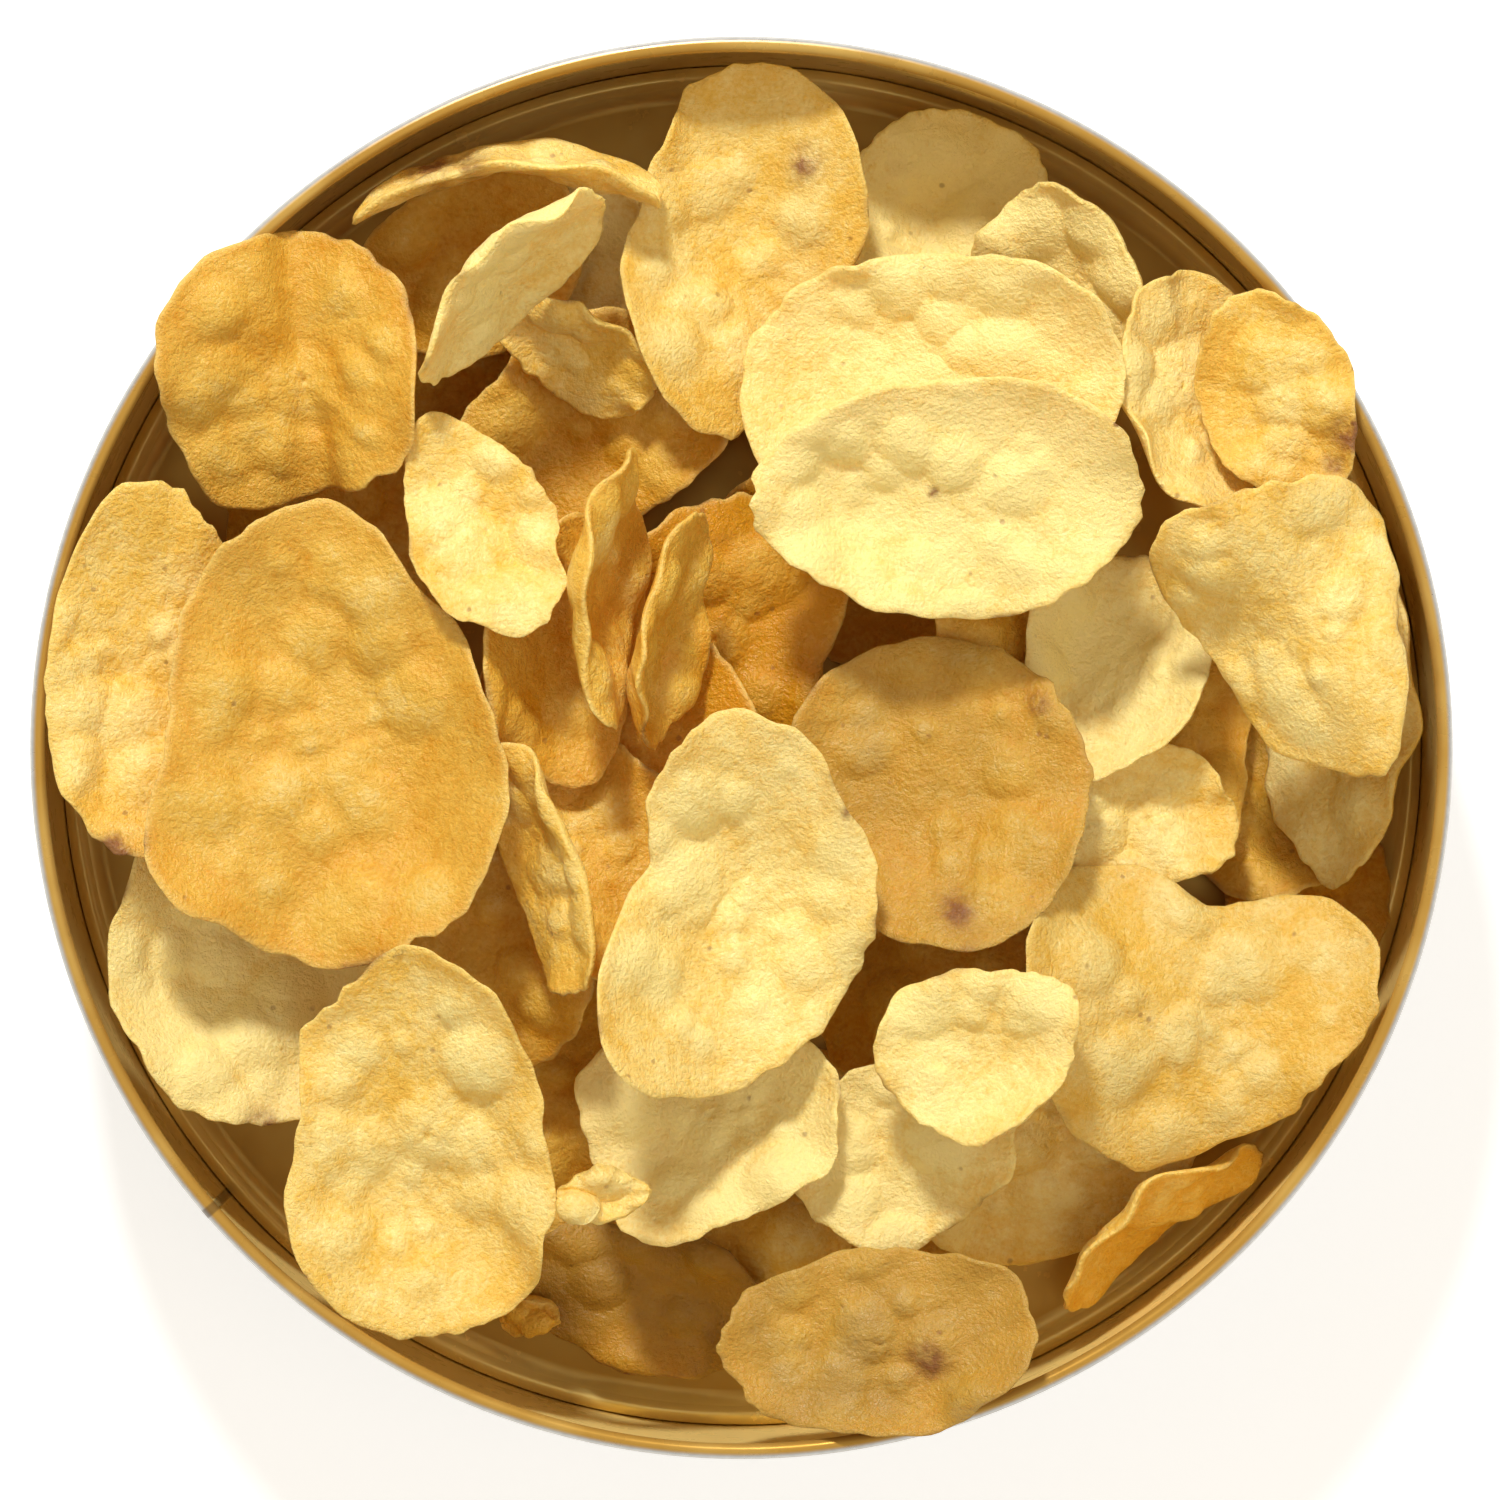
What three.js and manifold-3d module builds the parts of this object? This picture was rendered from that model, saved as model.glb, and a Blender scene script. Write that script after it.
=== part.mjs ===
// Potato chip tin: a shallow round can, open at the top and heaped with chips.
// Millimetres, +Z up. The origin is the centre of the base, on the plane that the tin stands on.
import * as THREE from "three";
import { mergeVertices } from "three/addons/utils/BufferGeometryUtils.js";
import Module from "manifold-3d";

// Sizes of the tin
const TIN_RADIUS = 100; // outside of the wall
const TIN_HEIGHT = 45; // base to the top of the rolled lip
const METAL = 0.3; // thickness of the tinplate
const LAYER_GAP = 0.25; // between two layers of the rolled bottom seam
const LIP_DIAMETER = 2.2; // outside of the lip, which rolls inwards
const LIP_TURN = 250; // degrees that the lip rolls through
const SEAM_HEIGHT = 3.3; // the rolled seam round the foot
const FLOOR_HEIGHT = 4.2; // inside face of the floor
const RIDGE_RISE = 1.0; // the rounded ring at the edge of the floor
const RIDGE_WIDTH = 2.6;
const LAP_WIDTH = 1.3; // the welded side seam, on the inside of the wall
const LAP_DEPTH = 0.35;
const LAP_AZIMUTH = 221; // degrees, anticlockwise from +X
const TIN_SIDES = 64;

// Sizes of the chips
const CHIP_THICKNESS = 1.5;
const CHIP_GAP = 0.3; // between a chip and what it rests on
const CHIP_RINGS = [0.52, 0.84, 1]; // rings of the plate, as shares of its outline
const CREASE_ROUND = 0.2; // how round a crease is, as a share of the half width
const RIPPLE = 0.9; // rise of the small waves in a slice
const RIPPLES_ALONG = 4; // radians of wave from the middle to the end
const RIPPLES_ACROSS = 3; // and from the middle to the side
const EDGE_WAVE = 0.05; // how far the outline strays from an oval, as a share
const SMALL_CHIP = 20; // shorter chips have an outline of CORNERS.small points
const MIDDLE_CHIP = 38; // and shorter ones than this of CORNERS.middle
const CORNERS = { small: 8, middle: 10, large: 12, outlined: 16 };

// A chip settles by leaning a little, in steps of these degrees
const LEAN_STEPS = [5, 2.5];
const LEAN_ROUNDS = 2;
const LEAN_MOST = 12;

// A chip that would stand out past the mouth slides inwards, at most this many times
const SLIDES = 40;

// Worked out from the sizes above
const LAYER_PITCH = METAL + LAYER_GAP;
const WALL_RADIUS = TIN_RADIUS - METAL / 2;
const BORE_RADIUS = TIN_RADIUS - METAL;
const MOUTH_RADIUS = TIN_RADIUS - LIP_DIAMETER;
const PLACE_UNIT = BORE_RADIUS / 100;
const RADIANS = Math.PI / 180;

const GOLD_LACQUER = { color: 0xb07a2c, roughness: 0.3, metalness: 0.9 };
const BARE_TINPLATE = { color: 0x9a978c, roughness: 0.35, metalness: 0.9 };
const LIT_CHIP = 0xf3d487;
const GOLDEN_CHIP = 0xdfac55;
const DEEP_CHIP = 0xb98232;

/* The chips, from the bottom of the heap to the top. at is the place of the middle, in
hundredths of the bore's radius. size is length and width. heading turns the length
anticlockwise from +X. nose lifts the +length end and side the +width side, in degrees.
ends and sides are how far the ends and sides curl up, twist lifts opposite corners,
crease lifts both sides sharply along a line that is shifted by creaseAt. radii is the
outline of a chip that isn't an oval: its reach from the middle every 30 degrees from +X.
A chip on the rim hangs over the lip. An upright one keeps its lean as it comes down. */
const CHIPS = [
  { name: "floor_north_west", at: [-39, 52], size: [38, 30], heading: 20, ends: 2, sides: 3,
    side: 18, upright: true },
  { name: "floor_west", at: [-62, 33], size: [38, 30], heading: 100, ends: 3, sides: -2,
    side: -16, upright: true },
  { name: "floor_centre_east", at: [25, 32], size: [56, 46], heading: 8, ends: 3, sides: 3,
    side: 35, upright: true },
  { name: "floor_centre", at: [-4, 16], size: [44, 36], heading: 60, ends: -3, sides: 4 },
  { name: "floor_east", at: [43, 14], size: [40, 34], heading: 90, ends: 4, sides: -2, side: 36,
    upright: true },
  { name: "floor_south", at: [8, -63], size: [44, 34], heading: 30, ends: 3, sides: 3 },
  { name: "floor_south_small", at: [21, -70], size: [36, 26], heading: -30, ends: -3, sides: 3 },
  { name: "floor_south_shade", at: [-8, -72], size: [46, 28], heading: 0, ends: 4, sides: -3 },
  { name: "floor_south_west", at: [-24, -46], size: [42, 34], heading: 45, ends: 3, sides: 3,
    side: 24, upright: true },
  { name: "floor_west_inner", at: [-36, -26], size: [42, 34], heading: 90, ends: -3, sides: 4,
    side: -12, upright: true },
  { name: "floor_south_east", at: [44, -58], size: [46, 34], heading: 15, ends: 4, sides: 3, side: 32,
    upright: true },
  { name: "east_glow", at: [84, -24], size: [30, 24], heading: 80, ends: 3, sides: 2, side: 12 },
  { name: "north_left_shade", at: [0, 69], size: [44, 30], heading: 95, ends: 3, sides: 3,
    side: 44, upright: true },
  { name: "north_rim_shade", at: [26, 76], size: [28, 22], heading: -10, ends: 2, sides: 2,
    side: -44, upright: true },
  { name: "east_low", at: [77, -6], size: [30, 34], heading: 0, ends: 4, sides: 3 },
  { name: "north_shade", at: [-16, 68], size: [38, 28], heading: 20, ends: -3, sides: 4, side: 16 },
  { name: "north_west_flat", at: [-38, 70], size: [34, 26], heading: 30, ends: 3, sides: 2 },
  { name: "east_wall", at: [88, 5], size: [48, 26], heading: 88, ends: 3, sides: 3, side: -48 },
  { name: "south_low", at: [-14, -80], size: [36, 22], heading: -12, ends: 3, sides: 2 },
  { name: "west_gap", at: [-50, 32], size: [32, 28], heading: 60, ends: -3, sides: 3 },
  { name: "centre_west", at: [-20, 3], size: [42, 34], heading: 20, ends: 4, sides: 3 },
  { name: "east_orange", at: [58, 3], size: [44, 34], heading: 90, ends: 4, sides: 4, side: 10 },
  { name: "centre_south", at: [25, -28], size: [40, 34], heading: 70, ends: 4, sides: -3, side: -36,
    upright: true },
  { name: "south_inner", at: [23, -58], size: [32, 26], heading: 15, ends: 4, sides: 3, side: -8 },
  { name: "south_crescent", at: [-4, -53], size: [38, 34], heading: 20, ends: 6, sides: 5 },
  { name: "north_second", at: [29, 77], size: [32, 28], heading: 30, ends: 5, sides: 3 },
  { name: "inner_curve", at: [-18, -18], size: [38, 26], heading: 110, ends: 4, sides: 6 },
  { name: "west_low", at: [-73, -34], size: [48, 38], heading: 112, ends: 7, sides: 5,
    side: 18, upright: true,
    radii: [21, 21, 22.5, 24.5, 25.5, 20.5, 18, 18.5, 19.5, 19.5, 22, 22.5] },
  { name: "east_lip", at: [58, -10], size: [26, 20], heading: 0, ends: 3, sides: 4 },
  { name: "north_inner", at: [-21, 47], size: [40, 30], heading: 20, ends: 4, sides: 4 },
  { name: "centre_leaf_left", at: [-27, 14], size: [38, 26], heading: 80, ends: 3, sides: 4,
    side: 34, upright: true },
  { name: "centre_leaf_steep", at: [-21, 23], size: [38, 22], heading: 86, ends: 4, sides: 3,
    side: 72, upright: true },
  { name: "centre_leaf_right", at: [-12, 17], size: [33, 20], heading: 78, ends: 3, sides: 3,
    side: 64, upright: true },
  { name: "north_west_inner", at: [-36, 30], size: [36, 24], heading: 115, ends: 6, sides: 5,
    side: 14, radii: [10.5, 10, 11, 13, 18, 13, 11, 11, 12, 14.5, 16, 13] },
  { name: "north_edge", at: [-23, 57], size: [26, 16], heading: -32, ends: 2, sides: 2, side: 48 },
  { name: "north_east_lit", at: [48, 66], size: [32, 26], heading: -60, ends: 4, sides: 5,
    side: 34, upright: true },
  { name: "north_east_curl", at: [62, 51], size: [36, 26], heading: -68, ends: 6, sides: 5,
    side: -26, upright: true, radii: [12, 13, 14.5, 16, 15, 12, 11, 11, 14, 18, 17, 13] },
  { name: "north_east_rim", at: [76, 49], size: [34, 24], heading: -60, ends: 4, sides: 3,
    rim: true, radii: [11, 11, 12.5, 15, 16, 13, 11, 11, 12, 13, 15, 12.5] },
  { name: "east_curl", at: [54, 11], size: [34, 26], heading: 70, ends: 4, sides: 8, side: -12 },
  { name: "east_twist", at: [77, 20], size: [46, 34], heading: -62, ends: 4, twist: 5,
    crease: -9, creaseAt: 0.15, radii: [15, 16, 18, 18, 18, 21.5, 18, 15, 16, 22, 26, 18.5] },
  { name: "north_tall", at: [-1, 71], size: [53, 34], heading: 100, ends: 4, sides: 8,
    radii: [17, 19, 25, 26.5, 20.5, 16, 16, 19, 24, 26, 17, 15.5] },
  { name: "north_mid", at: [28, 56], size: [56, 34], heading: -10, ends: 5, sides: 6,
    radii: [27, 23, 16, 14, 15.5, 21, 27, 28, 22.5, 20, 21, 27] },
  { name: "south_east_saddle", at: [68, -37], size: [50, 46], heading: -10, ends: 10, sides: -5,
    twist: 3, radii: [24, 24.5, 17, 13.5, 23, 27.5, 25.5, 26.5, 26, 22, 20, 21.5] },
  { name: "south_east_lit", at: [34, -43], size: [32, 26], heading: 30, ends: 3, sides: 5,
    radii: [13.5, 16, 13.5, 11.5, 12, 14, 15, 13.5, 12.5, 12.5, 11.5, 11.5] },
  { name: "east_mid", at: [29, -6], size: [46, 44], heading: -40, ends: 7, sides: 4,
    radii: [20.5, 21, 21, 21, 22, 23, 21, 21, 22, 24, 23.5, 22] },
  { name: "inner_pointed", at: [-26, -17], size: [37, 16], heading: 105, ends: 4, sides: 2,
    side: -50, upright: true },
  { name: "west_rim", at: [-85, 12], size: [52, 30], heading: 77, ends: 5, sides: 5, rim: true,
    radii: [14, 16, 21, 26, 19, 14, 13.5, 15.5, 22, 27, 20, 14.5] },
  { name: "west_big", at: [-56, 1], size: [64, 48], heading: 100, ends: 6, sides: 9, twist: 3,
    radii: [23.5, 22.5, 24, 33, 32, 26, 23.5, 31, 31, 31.5, 30, 26.5] },
  { name: "north_west_fold", at: [-62, 52], size: [42, 36], heading: 76, ends: -2, crease: 12,
    creaseAt: -0.1, rim: true,
    radii: [18.5, 19.5, 20.5, 21, 21, 20.5, 18.5, 18.5, 21, 16, 17, 18.5] },
  { name: "north_west_strip", at: [-34, 67], size: [37, 20], heading: 45, ends: 4, sides: 3,
    side: 62, upright: true },
  { name: "north_west_standing", at: [-32, 82], size: [43, 18], heading: 2, ends: -5, sides: 2,
    side: -76, upright: true },
  { name: "south_west_long", at: [-44, -54], size: [56, 37], heading: 105, ends: 6, sides: 7,
    radii: [17, 17.5, 22, 27.5, 24, 20, 19, 22, 26.5, 28.5, 26.5, 21.5] },
  { name: "south_rim", at: [20, -84], size: [45, 27], heading: 5, ends: 5, sides: 3, rim: true,
    radii: [22.5, 20, 14.5, 13, 13.5, 18, 22.5, 19, 14.5, 13.5, 14, 18] },
  { name: "south_east_standing", at: [58, -67], size: [36, 18], heading: 37, ends: 4, sides: 2,
    side: 66, upright: true },
  { name: "south_mid", at: [-2, -20], size: [52, 38], heading: 105, ends: 6, sides: 8,
    radii: [20, 19, 23.5, 26, 21, 14, 13.5, 26.5, 30, 27, 23, 20.5] },
  { name: "north_east_bright", at: [28, 36], size: [56, 34], heading: -4, ends: 5, sides: 5,
    radii: [28, 26, 19, 16.5, 17.5, 21.5, 26.5, 22, 18, 17, 19, 24] },
  { name: "south_fragment", at: [-20, -63], size: [13, 8], heading: 10, ends: 1, sides: 1 },
  { name: "south_crumb", at: [-31, -83], size: [9, 5], heading: 0, ends: 0.5, sides: 0.5 },
];

// A strip of even thickness along a centre line, as a closed outline in radius and height
function stripOutline(centreLine, thickness) {
  const left = [];
  const right = [];
  centreLine.forEach((point, index) => {
    const before = centreLine[Math.max(index - 1, 0)];
    const after = centreLine[Math.min(index + 1, centreLine.length - 1)];
    const into = point.clone().sub(before).normalize();
    const outOf = after.clone().sub(point).normalize();
    const along = into.clone().add(outOf).normalize();
    const aside = new THREE.Vector2(-along.y, along.x);
    const bend = Math.max(Math.sqrt((1 + into.dot(outOf)) / 2), 0.7);
    const reach = index === 0 || index === centreLine.length - 1 ? 1 : 1 / bend;
    left.push(point.clone().addScaledVector(aside, (thickness / 2) * reach));
    right.push(point.clone().addScaledVector(aside, (-thickness / 2) * reach));
  });
  return left.concat(right.reverse());
}

function arcPoints(centreX, centreY, radius, fromDegrees, toDegrees, steps) {
  const points = [];
  for (let step = 0; step <= steps; step += 1) {
    const angle = (fromDegrees + ((toDegrees - fromDegrees) * step) / steps) * RADIANS;
    points.push(new THREE.Vector2(centreX + radius * Math.cos(angle), centreY + radius * Math.sin(angle)));
  }
  return points;
}

// A closed outline turned about the axis, with its faces pointing out
function turned(outline, sides) {
  const loop = outline.slice();
  if (THREE.ShapeUtils.area(loop) < 0) loop.reverse();
  loop.push(loop[0].clone());
  const geometry = new THREE.LatheGeometry(loop, sides);
  geometry.deleteAttribute("normal");
  geometry.deleteAttribute("uv");
  return mergeVertices(geometry, 1e-5);
}

// The wall: a body hook at the foot, a straight side and the lip rolled inwards
function bodyCentreLine() {
  const hookRadius = WALL_RADIUS + 2 * LAYER_PITCH;
  const hookFloor = METAL / 2 + LAYER_PITCH;
  const lipRadius = (LIP_DIAMETER - METAL) / 2;
  const lipCentre = TIN_HEIGHT - LIP_DIAMETER / 2;
  return [
    new THREE.Vector2(hookRadius, SEAM_HEIGHT - METAL / 2 - 2 * LAYER_PITCH),
    new THREE.Vector2(hookRadius, hookFloor),
    new THREE.Vector2(WALL_RADIUS, hookFloor),
    ...arcPoints(WALL_RADIUS - lipRadius, lipCentre, lipRadius, 0, LIP_TURN, 8),
  ];
}

// The bottom end: a flat floor, a rounded ring, the chuck wall and the hook over the body hook
function endCentreLine() {
  const chuckRadius = WALL_RADIUS - LAYER_PITCH;
  const seamRadius = WALL_RADIUS + 3 * LAYER_PITCH;
  const coverRadius = WALL_RADIUS + LAYER_PITCH;
  const floor = FLOOR_HEIGHT - METAL / 2;
  const base = METAL / 2;
  const top = SEAM_HEIGHT - METAL / 2;
  const coverEnd = base + 2 * LAYER_PITCH + METAL / 2;
  const ridgeMiddle = chuckRadius - RIDGE_WIDTH / 2;
  const ridge = [-1, -0.6, 0, 0.6, 1].map((share) => {
    const rise = RIDGE_RISE * Math.cos((share * Math.PI) / 2);
    return new THREE.Vector2(ridgeMiddle + (share * RIDGE_WIDTH) / 2, floor + rise);
  });
  return [
    new THREE.Vector2(0, floor),
    ...ridge,
    new THREE.Vector2(chuckRadius, base),
    new THREE.Vector2(seamRadius, base),
    new THREE.Vector2(seamRadius, top),
    new THREE.Vector2(coverRadius, top),
    new THREE.Vector2(coverRadius, coverEnd),
  ];
}

const wasm = await Module();
wasm.setup();

function solidOf(geometry) {
  const bare = geometry.clone();
  bare.deleteAttribute("normal");
  bare.deleteAttribute("uv");
  const merged = mergeVertices(bare, 1e-5);
  return new wasm.Manifold(new wasm.Mesh({
    numProp: 3,
    vertProperties: new Float32Array(merged.attributes.position.array),
    triVerts: new Uint32Array(merged.index.array),
  }));
}

function geometryOf(solid) {
  const mesh = solid.getMesh();
  const geometry = new THREE.BufferGeometry();
  geometry.setAttribute("position", new THREE.BufferAttribute(mesh.vertProperties, 3));
  geometry.setIndex(new THREE.BufferAttribute(mesh.triVerts, 1));
  return geometry;
}

// The overlapped sheet edge of the side seam, a low strip up the inside of the wall
function lapStrip() {
  const foot = FLOOR_HEIGHT + RIDGE_RISE + LAYER_PITCH;
  const head = TIN_HEIGHT - LIP_DIAMETER - LAYER_PITCH;
  const bite = METAL / 2;
  const strip = new THREE.BoxGeometry(LAP_DEPTH + bite, LAP_WIDTH, head - foot);
  strip.translate(BORE_RADIUS - LAP_DEPTH / 2 + bite / 2, 0, (head + foot) / 2);
  strip.rotateZ(LAP_AZIMUTH * RADIANS);
  return strip;
}

function makeTinBody() {
  const shell = turned(stripOutline(bodyCentreLine(), METAL), TIN_SIDES);
  shell.rotateX(Math.PI / 2);
  const geometry = geometryOf(solidOf(shell).add(solidOf(lapStrip())));
  const mesh = new THREE.Mesh(geometry, new THREE.MeshStandardMaterial(BARE_TINPLATE));
  mesh.name = "tin_body";
  return mesh;
}

function makeTinEnd() {
  const outline = stripOutline(endCentreLine(), METAL);
  outline.forEach((point) => point.setX(Math.max(point.x, 0)));
  const geometry = turned(outline, TIN_SIDES);
  geometry.rotateX(Math.PI / 2);
  const mesh = new THREE.Mesh(geometry, new THREE.MeshStandardMaterial(GOLD_LACQUER));
  mesh.name = "tin_end";
  return mesh;
}

// A number from 0 to 1 that is always the same for the same seed
function chance(seed) {
  const value = Math.sin(seed * 12.9898) * 43758.5453;
  return value - Math.floor(value);
}

// The outline's reach at an angle from +X, through the radii by a closed cubic curve
function outlineReach(radii, angle) {
  const count = radii.length;
  const place = (((angle / (2 * Math.PI)) % 1) + 1) % 1 * count;
  const first = Math.floor(place);
  const share = place - first;
  const [p, q, r, t] = [-1, 0, 1, 2].map((step) => radii[(first + step + count) % count]);
  const bend = 2 * p - 5 * q + 4 * r - t + share * (3 * (q - r) + t - p);
  return q + 0.5 * share * (r - p + share * bend);
}

// How far the outline of an oval chip strays from the oval, as a share, at an angle round it
function ovalShare(seed, angle) {
  let share = 1;
  for (const lobes of [3, 4, 5]) {
    const start = 2 * Math.PI * chance(seed + lobes);
    share += (EDGE_WAVE / Math.sqrt(lobes - 2)) * Math.cos(lobes * angle + start);
  }
  return share;
}

// The edge of a chip at an angle round it, in shares of its half length and half width
function edgePoint(chip, seed, angle) {
  const edge = new THREE.Vector2(Math.cos(angle), Math.sin(angle));
  if (!chip.radii) return edge.multiplyScalar(ovalShare(seed, angle));
  const flat = new THREE.Vector2(edge.x * chip.size[0] / 2, edge.y * chip.size[1] / 2);
  const reach = outlineReach(chip.radii, flat.angle() + chip.heading * RADIANS);
  return edge.multiplyScalar(reach / flat.length());
}

// Height of the middle of the slice, at shares of its half length and half width
function sliceHeight(chip, seed, along, across) {
  const bowl = (chip.ends ?? 0) * along * along + (chip.sides ?? 0) * across * across;
  const fromCrease = across - (chip.creaseAt ?? 0);
  const fold = (chip.crease ?? 0) * (Math.hypot(fromCrease, CREASE_ROUND) - CREASE_ROUND);
  const turn = (chip.twist ?? 0) * along * across;
  const waveAlong = Math.sin(RIPPLES_ALONG * along + 2 * Math.PI * chance(seed + 7));
  const waveAcross = Math.cos(RIPPLES_ACROSS * across + 2 * Math.PI * chance(seed + 9));
  return bowl + fold + turn + RIPPLE * waveAlong * waveAcross;
}

function cornersOf(chip) {
  if (chip.radii) return CORNERS.outlined;
  if (chip.size[0] < SMALL_CHIP) return CORNERS.small;
  return chip.size[0] < MIDDLE_CHIP ? CORNERS.middle : CORNERS.large;
}

// A curled slice: one plate with a middle point and rings on each face, and an edge between them
function sliceGeometry(chip, seed) {
  const halfLength = chip.size[0] / 2;
  const halfWidth = chip.size[1] / 2;
  const corners = cornersOf(chip);
  const slope = 0.01;
  const points = [];
  const place = (ring, corner, face) => {
    const edge = edgePoint(chip, seed, (2 * Math.PI * corner) / corners);
    const along = ring * edge.x;
    const across = ring * edge.y;
    const height = sliceHeight(chip, seed, along, across);
    const riseAlong = (sliceHeight(chip, seed, along + slope, across) - height) / (slope * halfLength);
    const riseAcross = (sliceHeight(chip, seed, along, across + slope) - height) / (slope * halfWidth);
    const normal = new THREE.Vector3(-riseAlong, -riseAcross, 1).normalize();
    const middle = new THREE.Vector3(along * halfLength, across * halfWidth, height);
    points.push(middle.addScaledVector(normal, (face * CHIP_THICKNESS) / 2));
  };
  const triangles = [];
  for (const face of [1, -1]) {
    const start = points.length;
    place(0, 0, face);
    CHIP_RINGS.forEach((ring) => {
      for (let corner = 0; corner < corners; corner += 1) place(ring, corner, face);
    });
    const at = (ring, corner) => start + 1 + ring * corners + (corner % corners);
    const add = (a, b, c) => triangles.push(...(face > 0 ? [a, b, c] : [a, c, b]));
    for (let corner = 0; corner < corners; corner += 1) {
      add(start, at(0, corner), at(0, corner + 1));
      for (let ring = 1; ring < CHIP_RINGS.length; ring += 1) {
        add(at(ring - 1, corner), at(ring, corner), at(ring, corner + 1));
        add(at(ring - 1, corner), at(ring, corner + 1), at(ring - 1, corner + 1));
      }
    }
  }
  const perFace = 1 + CHIP_RINGS.length * corners;
  const outer = 1 + (CHIP_RINGS.length - 1) * corners;
  for (let corner = 0; corner < corners; corner += 1) {
    const next = (corner + 1) % corners;
    const upper = [outer + corner, outer + next];
    const lower = [perFace + outer + corner, perFace + outer + next];
    triangles.push(upper[0], lower[0], lower[1], upper[0], lower[1], upper[1]);
  }
  const geometry = new THREE.BufferGeometry().setFromPoints(points);
  geometry.setIndex(triangles);
  return geometry;
}

// Triangles in place, as flat numbers, with which way they face
function placedTriangles(geometry, matrix) {
  const position = geometry.attributes.position;
  const world = [];
  for (let index = 0; index < position.count; index += 1) {
    world.push(new THREE.Vector3().fromBufferAttribute(position, index).applyMatrix4(matrix));
  }
  const faces = [];
  for (let index = 0; index < geometry.index.count; index += 3) {
    const [a, b, c] = [0, 1, 2].map((corner) => world[geometry.index.getX(index + corner)]);
    const area = (b.x - a.x) * (c.y - a.y) - (b.y - a.y) * (c.x - a.x);
    faces.push({ a, b, c, area });
  }
  return { world, faces };
}

// Height of a triangle's plane over a point of the plan, or null outside the triangle
function heightOver(face, x, y) {
  const { a, b, c, area } = face;
  const shareB = ((x - a.x) * (c.y - a.y) - (y - a.y) * (c.x - a.x)) / area;
  const shareC = ((b.x - a.x) * (y - a.y) - (b.y - a.y) * (x - a.x)) / area;
  const slack = -1e-9;
  if (shareB < slack || shareC < slack || shareB + shareC > 1 - slack) return null;
  return a.z + shareB * (b.z - a.z) + shareC * (c.z - a.z);
}

// The most that one triangle stands above another where their plans overlap
function mostAbove(lower, upper) {
  let most = -Infinity;
  for (const point of [upper.a, upper.b, upper.c]) {
    const height = heightOver(lower, point.x, point.y);
    if (height !== null) most = Math.max(most, height - point.z);
  }
  for (const point of [lower.a, lower.b, lower.c]) {
    const height = heightOver(upper, point.x, point.y);
    if (height !== null) most = Math.max(most, point.z - height);
  }
  const sides = (face) => [[face.a, face.b], [face.b, face.c], [face.c, face.a]];
  for (const [p, q] of sides(lower)) {
    for (const [r, s] of sides(upper)) {
      const cross = (q.x - p.x) * (s.y - r.y) - (q.y - p.y) * (s.x - r.x);
      if (Math.abs(cross) < 1e-12) continue;
      const onLower = ((r.x - p.x) * (s.y - r.y) - (r.y - p.y) * (s.x - r.x)) / cross;
      const onUpper = ((r.x - p.x) * (q.y - p.y) - (r.y - p.y) * (q.x - p.x)) / cross;
      if (onLower < 0 || onLower > 1 || onUpper < 0 || onUpper > 1) continue;
      most = Math.max(most, p.z + onLower * (q.z - p.z) - r.z - onUpper * (s.z - r.z));
    }
  }
  return most;
}

// Upward faces of everything that already lies in the tin, sorted into squares of the plan
class Heap {
  constructor() {
    this.square = 8;
    this.squares = new Map();
  }

  squaresUnder(face) {
    const keys = [];
    const { a, b, c } = face;
    const low = (axis) => Math.floor(Math.min(a[axis], b[axis], c[axis]) / this.square);
    const high = (axis) => Math.floor(Math.max(a[axis], b[axis], c[axis]) / this.square);
    for (let x = low("x"); x <= high("x"); x += 1) {
      for (let y = low("y"); y <= high("y"); y += 1) keys.push(x * 1000 + y);
    }
    return keys;
  }

  add(faces) {
    for (const face of faces.filter((each) => each.area > 1e-6)) {
      for (const key of this.squaresUnder(face)) {
        if (!this.squares.has(key)) this.squares.set(key, []);
        this.squares.get(key).push(face);
      }
    }
  }

  // How far down these faces can go before the first of them touches the heap
  lift(faces) {
    let most = -Infinity;
    for (const face of faces.filter((each) => each.area < -1e-6)) {
      for (const key of this.squaresUnder(face)) {
        for (const other of this.squares.get(key) ?? []) {
          most = Math.max(most, mostAbove(other, face));
        }
      }
    }
    return most;
  }
}

// The top of the lip, as a flat ring for chips to rest on
function lipTop() {
  const ring = new THREE.RingGeometry(MOUTH_RADIUS, TIN_RADIUS, TIN_SIDES);
  const lip = new Heap();
  lip.add(placedTriangles(ring, new THREE.Matrix4().makeTranslation(0, 0, TIN_HEIGHT)).faces);
  return lip;
}

function turnOf(chip, lean) {
  const heading = new THREE.Matrix4().makeRotationZ(chip.heading * RADIANS);
  const nose = new THREE.Matrix4().makeRotationY(-((chip.nose ?? 0) + lean[0]) * RADIANS);
  const side = new THREE.Matrix4().makeRotationX(((chip.side ?? 0) + lean[1]) * RADIANS);
  return heading.multiply(nose).multiply(side);
}

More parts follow.
